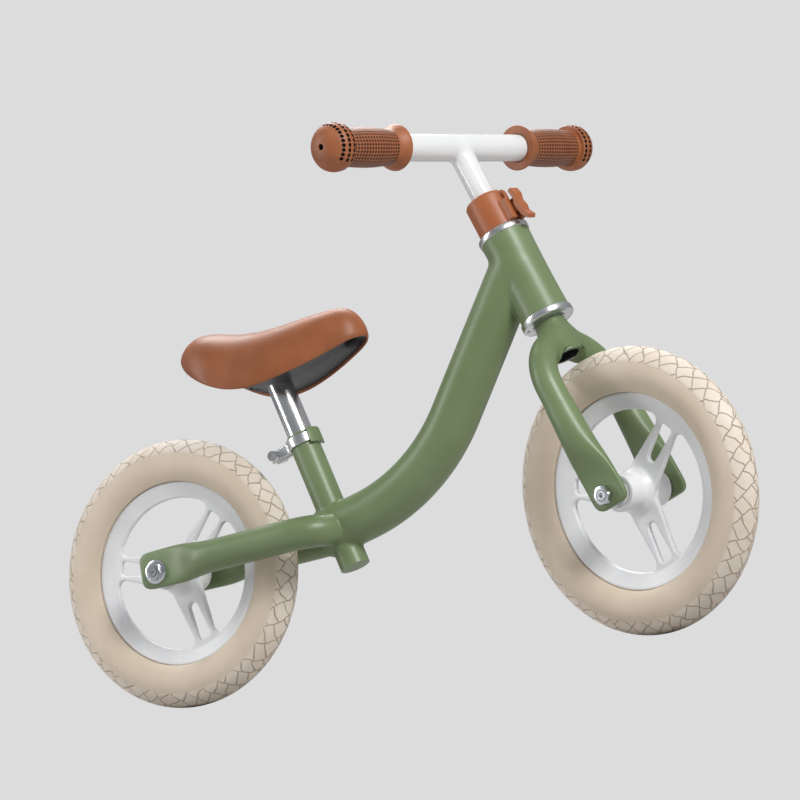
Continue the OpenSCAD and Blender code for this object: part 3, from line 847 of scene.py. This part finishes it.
# %% [markdown]
# ## Bar and stem
# Two steel tubes are welded in a T and stove enamelled white. They are joined like the frame: one
# skin, a small fillet at the weld, and the open bores cut out.
# %% T-shaped bar
BAR_R, BAR_HALF, BAR_S, STEM_FOOT = 14.3, 200.0, 416.5, 230.6
WALL = 1.5


def bar_and_stem():
    along_y = Matrix.Translation((0, 0, BAR_S)) @ Matrix.Rotation(math.pi / 2, 4, "X")
    bm = bmesh.new()
    bmesh.ops.create_cone(bm, cap_ends=True, segments=96, radius1=BAR_R, radius2=BAR_R,
                          depth=2 * BAR_HALF, matrix=along_y)
    bmesh.ops.create_cone(bm, cap_ends=True, segments=96, radius1=STEM_R, radius2=STEM_R,
                          depth=BAR_S - STEM_FOOT,
                          matrix=Matrix.Translation((0, 0, (BAR_S + STEM_FOOT) / 2)))
    mesh = one_skin(bm, "bar_and_stem", 1.4)
    points = get_points(mesh)
    moved = settle(points, blended([rod((0, 0, BAR_S), (0, 1, BAR_S), BAR_R),
                                    rod((0, 0, 0), (0, 0, 1), STEM_R)], 5), 4)
    # the rod below the bar has no partner above it
    above = points[:, 2] > BAR_S + 4
    moved[above] = settle(points[above], rod((0, 0, BAR_S), (0, 1, BAR_S), BAR_R), 4)
    ends = (np.abs(points[:, 1]) > BAR_HALF - 1.5) | (points[:, 2] < STEM_FOOT + 1.5)
    moved[ends] = points[ends]
    set_points(mesh, moved)
    tools = bmesh.new()
    bmesh.ops.create_cone(tools, cap_ends=True, segments=64, radius1=BAR_R - WALL, radius2=BAR_R - WALL,
                          depth=2 * BAR_HALF + 20, matrix=along_y)
    bmesh.ops.create_cone(tools, cap_ends=True, segments=64, radius1=STEM_R - WALL, radius2=STEM_R - WALL,
                          depth=200, matrix=Matrix.Translation((0, 0, BAR_S - 116)))
    mesh = carved(mesh, tools, "bar_bores")
    mesh.transform(STEERED)
    return mesh


finish_mesh(bar_and_stem(), "bar_and_stem", "bars", ENAMEL, ["stem_tube", "handlebar"], sharp=40)

# %% [markdown]
# ## Grips
# Each grip is moulded in soft rubber and pushed onto the bar: a flange for the thumb, a waisted
# barrel covered in small round pits, and a bell end with three rings of deep holes for grip and
# airflow. The mesh is spun in 30 columns, one for each hole in a ring. Faces on the bell are inset
# and pushed in, and subdivision rounds them. The pits are a pattern on the grip's own map.
# %% Grip rubber
PITS_AROUND, PIT_STEP, PIT_START = 34, 4.0, 106.6
FIRST_PIT, LAST_PIT = 1.0, 18.0


def grip_rubber():
    mat, tree, shader, where = finish("moulded_brown_rubber", "#8A4C2B", 0.48, IOR=1.5)
    uv = add(tree, "ShaderNodeUVMap", uv_map="pits").outputs["UV"]
    split = add(tree, "ShaderNodeSeparateXYZ", {"Vector": uv})
    u, v = split.outputs["X"], split.outputs["Y"]
    offset = []
    for value in (u, v):
        cell = maths(tree, "SUBTRACT", maths(tree, "FRACT", value), 0.5)
        offset.append(maths(tree, "MULTIPLY", cell, cell))
    away = maths(tree, "SQRT", maths(tree, "ADD", *offset))
    # the map's v is along the grip in pit steps, and pits only cover the barrel
    on_barrel = maths(tree, "MULTIPLY", maths(tree, "GREATER_THAN", v, FIRST_PIT),
                      maths(tree, "LESS_THAN", v, LAST_PIT))
    pit = maths(tree, "MULTIPLY", ramp(tree, away, 0.33, 0.39, 1, 0), on_barrel)
    drift = speckle(tree, where, 16, 3).outputs["Fac"]
    tone = two_tone(tree, ramp(tree, drift, 0.35, 0.65), "#935430", "#9F5F39")
    # the pits are painted near black: painted shade in the small dimples, which are only a bump
    dark = two_tone(tree, pit, tone, "#080302")
    tree.links.new(dark, shader.inputs["Base Color"])
    grain = speckle(tree, where, 0.9, 2).outputs["Fac"]
    height = maths(tree, "MULTIPLY_ADD", grain, 0.06, maths(tree, "SUBTRACT", 1.0, pit))
    raise_by(tree, shader, height, 0.2, 0.4)
    return mat


def dark_inside():
    """The same rubber where no light reaches, at the bottom of a hole."""
    mat, tree, shader, where = finish("brown_rubber_painted_hole_shade", "#1F110B", 0.7, IOR=1.5)
    patch = speckle(tree, where, 3, 2).outputs["Fac"]
    tree.links.new(two_tone(tree, patch, "#190D08", "#27160E"), shader.inputs["Base Color"])
    raise_by(tree, shader, patch, 0.2, 0.1)
    return mat


GRIP_RUBBER, HOLE_DARK = grip_rubber(), dark_inside()

# %% Grip shape
GRIP_COLUMNS = 30
HOLES_FROM, HOLES_TO = -74, 70
HOLE_ROWS = ((182.9, 187.0), (189.6, 194.0), (196.2, 200.4))
END_HOLE_R = 3.0
GRIP_OUTSIDE = [(24.0, 96.2), (24.3, 97.0), (24.2, 98.3), (23.2, 101), (21.2, 105), (19.5, 108.5),
                (18.9, 111.5), (19.0, 115), (19.7, 121), (20.5, 131), (20.8, 143), (20.6, 156),
                (19.9, 168), (19.2, 177), (19.0, 180.6), (19.5, 181.7), (23.4, 182.0), (24.1, 182.2),
                (24.4, 182.9), (25.1, 187.0),
                (25.2, 189.6), (24.6, 194.0), (23.8, 196.2), (21.1, 200.4), (18.2, 203.2), (14.9, 205.4),
                (10.4, 207.2), (5.2, 208.2), (3.6, 208.2), (END_HOLE_R, 207.6)]
GRIP_INSIDE = [(END_HOLE_R, 203.6), (3.3, 203.0), (13.9, 203.0), (14.36, 202.5), (14.36, 96.9), (14.5, 96.2)]


def grip(side, name, cad):
    turn = Matrix.Translation((0, 0, BAR_S)) @ Matrix.Rotation(-side * math.pi / 2, 4, "X")
    bm = turned_mesh(GRIP_OUTSIDE + GRIP_INSIDE, GRIP_COLUMNS, closed=True)
    uv = bm.loops.layers.uv.new("pits")
    for face in bm.faces:
        face.smooth = True
        middle = face.calc_center_median()
        turn0 = math.atan2(middle.y, middle.x)
        for loop in face.loops:
            p = loop.vert.co
            around = math.atan2(p.y, p.x)
            around += round((turn0 - around) / (2 * math.pi)) * 2 * math.pi
            loop[uv].uv = (around / (2 * math.pi) * PITS_AROUND, (p.z - PIT_START) / PIT_STEP)
    bmesh.ops.recalc_face_normals(bm, faces=bm.faces)
    # holes cover the side of the bell that the palm and fingers meet, from below the front to the top
    holes = []
    for face in bm.faces:
        middle = face.calc_center_median()
        heights = sorted(v.co.z for v in face.verts)
        in_row = any(abs(heights[0] - a) < 0.1 and abs(heights[-1] - b) < 0.1 for a, b in HOLE_ROWS)
        front = (turn @ middle)
        angle = math.degrees(math.atan2(front.z - BAR_S, front.x))
        if in_row and middle.xy.length > 20 and HOLES_FROM < angle < HOLES_TO:
            holes.append(face)
    bmesh.ops.inset_individual(bm, faces=holes, thickness=0.3, depth=0)
    dark = bmesh.ops.inset_individual(bm, faces=holes, thickness=0.1, depth=-0.5)["faces"]
    dark += bmesh.ops.inset_individual(bm, faces=holes, thickness=0.1, depth=-2.6)["faces"]
    dark += [f for f in bm.faces if f.calc_center_median().xy.length < END_HOLE_R + 0.05]
    # hole walls, hole floors and the end bore get the dark rubber: painted shade, since the holes are shallow
    # dents
    for face in holes + dark:
        face.material_index = 1
    bmesh.ops.transform(bm, matrix=turn, verts=bm.verts)
    return finish_piece(bm, name, STEERED, "bars", [GRIP_RUBBER, HOLE_DARK], [cad], sharp=0, subdiv=3)


grip(-1, "right_grip_rubber", "right_grip")
grip(1, "left_grip_rubber", "left_grip")


# %% [markdown]
# ## Moulded and cast small parts
# The stem collar, its wing screw and the seat clamp come from CAD with sharp corners. Each is
# copied, given one fine skin and eased a few rounds, which leaves the small even radius that a
# mould or a tumbling drum gives.
# %% Eased copies of CAD parts
SHAFT_R = 3.0


def eased_copy(cad, name, place, body, material, voxel, rounds, narrow=1.0):
    bm = bmesh.new()
    bm.from_mesh(nodes[cad].data)
    bmesh.ops.transform(bm, matrix=place.inverted(), verts=bm.verts)
    bmesh.ops.remove_doubles(bm, verts=bm.verts, dist=0.01)
    mesh = one_skin(bm, name, voxel)
    eased(mesh, rounds, lambda p, i: np.full(len(p), 0.5))
    points = get_points(mesh)
    # a wing is narrower than its CAD blank, but the shaft in its middle keeps its width
    beyond = np.clip(np.abs(points[:, 1]) - SHAFT_R, 0, None) * (1 - narrow)
    points[:, 1] -= np.sign(points[:, 1]) * beyond
    set_points(mesh, points)
    mesh.transform(place)
    return finish_mesh(mesh, name, body, material, [cad], sharp=0)


eased_copy("clamp_collar", "stem_collar", STEERED, "steering", BROWN_ABS, 0.8, 4)
eased_copy("wing_screw", "wing_screw_moulding", STEERED, "clamp_screw", BROWN_ABS, 0.5, 10, narrow=0.45)
eased_copy("seat_clamp", "seat_clamp_casting", SEAT, "frame", ALUMINIUM, 0.55, 4)


# %% [markdown]
# ## Turned metal parts
# Headset rings, seat post, axle nuts and spacers are lathe work. Rings, post and nuts are spun from
# their sections, with a small radius on every edge, because that is what catches the light; the
# spacers keep their CAD shape.
# %% Headset rings and seat post
def headset_ring(name, cad, section):
    finish_piece(turned_mesh(section, 128, closed=True), name, HEAD, "frame", ALUMINIUM, [cad], sharp=30)


headset_ring("upper_headset_ring", "upper_headset_cup",
             [(23.4, 291), (23.4, 302.5), (26.9, 302.5), (27.4, 302.9), (27.6, 303.5), (27.6, 308.1),
              (27.2, 308.9), (26.3, 309.3), (17.6, 309.3), (17.1, 308.8), (17.1, 303),
              (18.3, 303), (18.3, 291)])
headset_ring("lower_headset_ring", "lower_headset_cup",
             [(23.4, 219), (23.4, 207.6), (27.4, 207.6), (28.0, 207.2), (28.2, 206.5), (28.2, 201.5),
              (27.8, 200.6), (26.9, 200.2), (18.2, 200.2), (17.6, 200.8), (17.6, 207),
              (18.3, 207), (18.3, 219)])
post = [(12.45, 41), (12.45, 212), (13.6, 212), (13.95, 211.6), (13.95, 40.4), (13.6, 40), (12.8, 40)]
finish_piece(turned_mesh(post, 96, closed=True), "seat_post_tube", SEAT, "seat", CHROME,
             ["seat_post"], sharp=30)


# %% Axle nuts
def nut(place, body, name, cad, near, far, across, flange):
    """A hexagon with turned chamfers, a flange if it has one, and the axle's thread end inside."""
    bm = bmesh.new()
    rows = [(None, near), (None, far - 1.2), (across + 0.35, far - 0.3), (across - 0.9, far), (6.2, far),
            (5.5, far - 0.6), (5.5, far - 2.0), (5.06, far - 2.0)]
    angles = [math.radians(3.75 * i) for i in range(96)]
    for side in (1, -1):
        rings = []
        for r, h in rows:
            ring = []
            for a in angles:
                corner = across / math.cos((a + math.pi / 6) % (math.pi / 3) - math.pi / 6)
                reach = min(corner, r) if r else corner
                ring.append(bm.verts.new((reach * math.cos(a + 0.21), side * h, reach * math.sin(a + 0.21))))
            rings.append(ring)
        for lower, upper in zip(rings, rings[1:]):
            for i in range(96):
                j = (i + 1) % 96
                bm.faces.new((lower[i], lower[j], upper[j], upper[i]))
        for i in range(96):
            j = (i + 1) % 96
            inside = [(5.06 * math.cos(angles[k]), side * near, 5.06 * math.sin(angles[k])) for k in (i, j)]
            bm.faces.new([rings[0][i], rings[0][j]] + [bm.verts.new(p) for p in reversed(inside)])
        if flange:
            section = [(6, near + 0.02), (12.5, near + 0.02), (13, near + 0.5), (13, near + 1.5),
                       (12.3, near + 2.0), (10.2, near + 2.5), (6, near + 2.5)]
            disc = turned_mesh(section, 72, Matrix.Rotation(-side * math.pi / 2, 4, "X"), closed=True)
            piece = bpy.data.meshes.new("flange")
            disc.to_mesh(piece)
            disc.free()
            bm.from_mesh(piece)
            bpy.data.meshes.remove(piece)
    finish_piece(bm, name, place, body, ZINC, [cad], sharp=24)


nut(REAR, "frame", "rear_nuts_with_flange", "rear_axle_nuts", 50.0, 57.8, 8.5, True)
nut(STEERED, "steering", "front_nuts", "front_axle_nuts", 52.0, 59.5, 9.0, False)

# %% Finishes for the CAD parts that stay
for names, material in (
        (("upper_headset_bearing", "lower_headset_bearing", "fork_crown_race", "lower_cup_screw", "front_axle",
          "rear_axle", "front_axle_spacers", "rear_axle_spacers", "front_hub_bearings", "rear_hub_bearings",
          "seat_clamp_bolt", "seat_clamp_nut", "saddle_bracket_bolt"), ZINC),
        (("saddle_bracket",), BLACK_NYLON_AND_BORE_SHADE)):
    for name in names:
        for holder in nodes[name].material_slots:
            holder.material = material

# %% [markdown]
# ## Saddle
# The saddle is a foam pad moulded in its skin: wide and rounded at the tail, narrow and raised at
# the nose, with full sides that roll under to a thin lip. Rings run round the plan outline. Each
# ring is a step from the outline towards the saddle's spine, and rises like a dome from the rim
# line to the top line, so the form is soft in every direction.
# %% Saddle lines
TAIL, NOSE = (93.5, 57.5), (234.0, 26.5)
TAIL_NARROW = 0.93
FLANK = ((126, 52.5), (150, 51), (175, 46.5), (200, 39), (224, 31))
RIM_LINE = np.array([[30, 377], [46, 360], [62, 347], [84, 333], [108, 323], [135, 319.5], [160, 323],
                     [190, 331], [215, 339.5], [240, 349.5], [270, 362]], float)
TOP_LINE = np.array([[30, 381], [38, 389], [48, 395], [62, 397], [80, 394], [110, 387], [140, 385],
                     [170, 387], [200, 391], [226, 393], [240, 392.5], [250, 389.5], [260, 382],
                     [270, 372]], float)
BASE_LIFT = np.array([[30, 4.5], [62, 4.4], [84, 4.2], [108, 4], [135, 3.6], [160, 3.2],
                      [190, 2.8], [215, 2.6], [270, 2.4]], float)
BIKE_MM = Matrix.Translation((rear_hub[0], 0, 0)) @ Matrix.Scale(MM, 4)
SPINE = TAIL[0], NOSE[0]


def smooth_line(line, x):
    """The line's height at x, averaged over a short stretch so that it has no corners."""
    return sum(np.interp(x + d, line[:, 0], line[:, 1]) for d in (-9, -6, -3, 0, 3, 6, 9)) / 7


def plan_half():
    """Half of the plan outline from the tail's end to the nose's end, even in length."""
    points = [(TAIL[0] - TAIL[1] * math.cos(a), TAIL[1] * TAIL_NARROW * math.sin(a))
              for a in np.linspace(0, 1.75, 40)]
    points += list(FLANK)
    points += [(NOSE[0] - NOSE[1] * math.cos(a), NOSE[1] * math.sin(a))
               for a in np.linspace(2.0, math.pi, 24)]
    pts = np.array(points)
    length = np.concatenate([[0], np.cumsum(np.linalg.norm(np.diff(pts, axis=0), axis=1))])
    even = np.linspace(0, length[-1], 61)
    out = np.stack([np.interp(even, length, pts[:, i]) for i in (0, 1)], axis=1)
    for _ in range(5):
        out[1:-1] = out[1:-1] * 0.5 + (out[:-2] + out[2:]) * 0.25
    return out


HALF = plan_half()
OUTLINE = np.concatenate([HALF, HALF[-2:0:-1] * (1, -1)])
# each outline point heads for its own place on the spine
AIM = np.stack([np.clip(OUTLINE[:, 0], *SPINE), np.zeros(len(OUTLINE))], axis=1)
WIDTH = np.linalg.norm(OUTLINE - AIM, axis=1)


def ring_at(share, height, out=0.0):
    """A ring of points: a share of the way in from the outline, and a height function of x and i."""
    p = OUTLINE + (AIM - OUTLINE) * (share - out / WIDTH)[:, None]
    return [Vector((x, y, height(x, i))) for i, (x, y) in enumerate(p)]


def skin_of(bm, rings):
    """Joins rings of points one to the next. The ends meet along the spine, where doubles are merged."""
    made = [[bm.verts.new(p) for p in ring] for ring in rings]
    for lower, upper in zip(made, made[1:]):
        for i in range(len(lower)):
            j = (i + 1) % len(lower)
            bm.faces.new((lower[i], lower[j], upper[j], upper[i]))


# %% [markdown]
# ### Saddle skin
# The skin is smooth polyurethane leather in saddle brown: a fine pebble grain, a soft sheen and
# slightly darker colour in soft random patches.
# %% Leather-look skin
def leather():
    mat, tree, shader, where = finish("polyurethane_leather_brown", "#9A5C37", 0.48, IOR=1.46)
    shader.inputs["Coat Weight"].default_value = 0.06
    shader.inputs["Coat Roughness"].default_value = 0.35
    drift = speckle(tree, where, 34, 3).outputs["Fac"]
    tone = two_tone(tree, ramp(tree, drift, 0.35, 0.65), "#8E522E", "#9C5C36")
    tree.links.new(tone, shader.inputs["Base Color"])
    pebble = add(tree, "ShaderNodeTexVoronoi", {"Vector": where, "Scale": per_mm(1.1)}, feature="SMOOTH_F1")
    crease = ramp(tree, pebble.outputs["Distance"], 0.1, 0.7, 1, 0)
    tree.links.new(ramp(tree, drift, 0.3, 0.7, 0.44, 0.54), shader.inputs["Roughness"])
    raise_by(tree, shader, crease, 0.25, 0.06)
    return mat


LEATHER = leather()


# %% Saddle pad
DOME_POWER = 2 / 2.4


def saddle_pad():
    def rim(x):
        return float(smooth_line(RIM_LINE, x))

    rings = []
    full = np.zeros(len(OUTLINE))
    # under the lip, from the inner wall outwards
    under = [(full + 1.0, 15), (full + 0.5, 15)]
    under += [(inset / WIDTH, lift) for inset, lift in ((3.2, 14), (3.2, 2.0), (2.6, 0.5), (1.8, 0.0))]
    for part, lift in under:
        rings.append(ring_at(part, lambda x, i, lift=lift: rim(OUTLINE[i, 0]) + lift))
    rings.append(ring_at(0.9 / WIDTH, lambda x, i: rim(OUTLINE[i, 0]) + 0.4))
    # outside, from the rim up and in; the sides first swell a little, then turn over
    for t in np.concatenate([np.linspace(0.0, 0.1, 4)[1:], np.linspace(0.1, 1.0, 22)[1:]]):
        angle = t * math.pi / 2
        share = 1 - math.cos(angle) ** DOME_POWER
        rise = math.sin(angle) ** DOME_POWER

        def height(x, i, rise=rise):
            low = rim(OUTLINE[i, 0]) + 1.0
            high = float(smooth_line(TOP_LINE, x))
            return low + (high - low) * rise
        rings.append(ring_at(full + share, height))
    bm = bmesh.new()
    skin_of(bm, rings)
    bmesh.ops.remove_doubles(bm, verts=bm.verts, dist=0.02)
    bmesh.ops.dissolve_degenerate(bm, dist=0.01, edges=bm.edges)
    piece = finish_piece(bm, "saddle_pad", BIKE_MM, "seat", LEATHER, ["saddle_cover"], sharp=0, subdiv=1)


saddle_pad()


# %% [markdown]
# ### Saddle base
# A polished black polypropylene shell closes the saddle from below. It follows the rim line, has a
# rolled edge just inside the lip and a shallow hollow towards the middle, where the post enters.
# %% Saddle base
def saddle_shell():
    def level(lift):
        def height(x, i):
            own = OUTLINE[i, 0]
            return float(smooth_line(RIM_LINE, own) + np.interp(own, BASE_LIFT[:, 0], BASE_LIFT[:, 1])) + lift
        return height

    rings = [ring_at(np.full(len(OUTLINE), share), level(3.2)) for share in (1.0, 0.8, 0.5)]
    for inset, lift in ((5.2, 3.0), (3.8, 2.4), (3.45, 1.2), (3.55, 0.2), (4.4, -0.4), (5.4, -0.4),
                        (6.4, 0.1), (7.6, 0.9)):
        rings.append(ring_at(inset / WIDTH, level(lift)))
    rings += [ring_at(np.full(len(OUTLINE), share), level(lift))
              for share, lift in ((0.5, 1.0), (0.8, 0.8), (1.0, 0.6))]
    bm = bmesh.new()
    skin_of(bm, rings)
    bmesh.ops.remove_doubles(bm, verts=bm.verts, dist=0.02)
    bmesh.ops.dissolve_degenerate(bm, dist=0.01, edges=bm.edges)
    finish_piece(bm, "saddle_shell", BIKE_MM, "seat", BLACK_GLOSS, ["saddle_base"], sharp=50, subdiv=1)


saddle_shell()

# %% [markdown]
# ## Studio
# The floor is a pale one-sided sheet: it catches shadows and bounces light from above, and lets a
# low camera look up through it. Three large soft lamps stand in for a studio's light boxes.
# %% Camera
camera = bpy.data.objects.new("camera", bpy.data.cameras.new("camera"))
bpy.context.scene.collection.objects.link(camera)
camera.data.lens = 137.47
camera.data.clip_end = 50
right = Vector((0.868, 0.483, -0.117)).normalized()
back = Vector((0.464, -0.872, -0.156)).normalized()
up = back.cross(right).normalized()
right = up.cross(back)
camera.matrix_world = Matrix.Translation((1.5006, -2.7822, -0.2143)) @ Matrix(
    (right, up, back)).transposed().to_4x4()
bpy.context.scene.camera = camera


# %% Floor, backdrop and lamps
def floor_sheet():
    mat = bpy.data.materials.new("pale_floor")
    mat.use_nodes = True
    tree = mat.node_tree
    shader = tree.nodes["Principled BSDF"]
    shader.inputs["Base Color"].default_value = colour("#B4B2B2")
    shader.inputs["Roughness"].default_value = 0.8
    clear = add(tree, "ShaderNodeBsdfTransparent")
    side = add(tree, "ShaderNodeNewGeometry").outputs["Backfacing"]
    mix = tree.nodes.new("ShaderNodeMixShader")
    tree.links.new(side, mix.inputs[0])
    tree.links.new(shader.outputs[0], mix.inputs[1])
    tree.links.new(clear.outputs[0], mix.inputs[2])
    tree.links.new(mix.outputs[0], tree.nodes["Material Output"].inputs["Surface"])
    bm = bmesh.new()
    bmesh.ops.create_grid(bm, x_segments=1, y_segments=1, size=6)
    mesh = bpy.data.meshes.new("floor")
    bm.to_mesh(mesh)
    bm.free()
    mesh.materials.append(mat)
    sheet = bpy.data.objects.new("floor", mesh)
    bpy.context.scene.collection.objects.link(sheet)


def lamp(name, place, aim, size, watts):
    data = bpy.data.lights.new(name, "AREA")
    data.shape, data.size, data.size_y, data.energy = "RECTANGLE", size[0], size[1], watts
    obj = bpy.data.objects.new(name, data)
    obj.location = place
    obj.rotation_euler = (Vector(aim) - Vector(place)).to_track_quat("-Z", "Y").to_euler()
    bpy.context.scene.collection.objects.link(obj)


def pale_studio():
    """A pale even backdrop for the camera, and a dimmer room that is bright above and dark below."""
    world = bpy.data.worlds.new("pale_studio")
    world.use_nodes = True
    tree = world.node_tree
    up = add(tree, "ShaderNodeSeparateXYZ", {"Vector": add(tree, "ShaderNodeTexCoord").outputs["Generated"]})
    height = ramp(tree, up.outputs["Z"], -0.7, 0.9)
    tone = two_tone(tree, height, "#3A3C40", "#F2F3F5")
    room = add(tree, "ShaderNodeBackground", {"Color": tone, "Strength": 0.5})
    back = tree.nodes["Background"]
    back.inputs["Color"].default_value = colour("#DCDCDD")
    seen = add(tree, "ShaderNodeLightPath").outputs["Is Camera Ray"]
    mix = add(tree, "ShaderNodeMixShader", {"Fac": seen})
    tree.links.new(room.outputs[0], mix.inputs[1])
    tree.links.new(back.outputs[0], mix.inputs[2])
    tree.links.new(mix.outputs[0], tree.nodes["World Output"].inputs["Surface"])
    bpy.context.scene.world = world


floor_sheet()
pale_studio()
bpy.context.scene.view_settings.view_transform = "Standard"
lamp("key_box", (2.1, -1.3, 1.7), (0, 0, 0.25), (0.8, 0.9), 62)
lamp("left_box", (-2.0, -1.3, 0.9), (0, 0, 0.25), (0.4, 1.6), 20)
lamp("top_back_box", (-0.6, 0.9, 2.1), (0, 0, 0.3), (1.4, 0.8), 38)
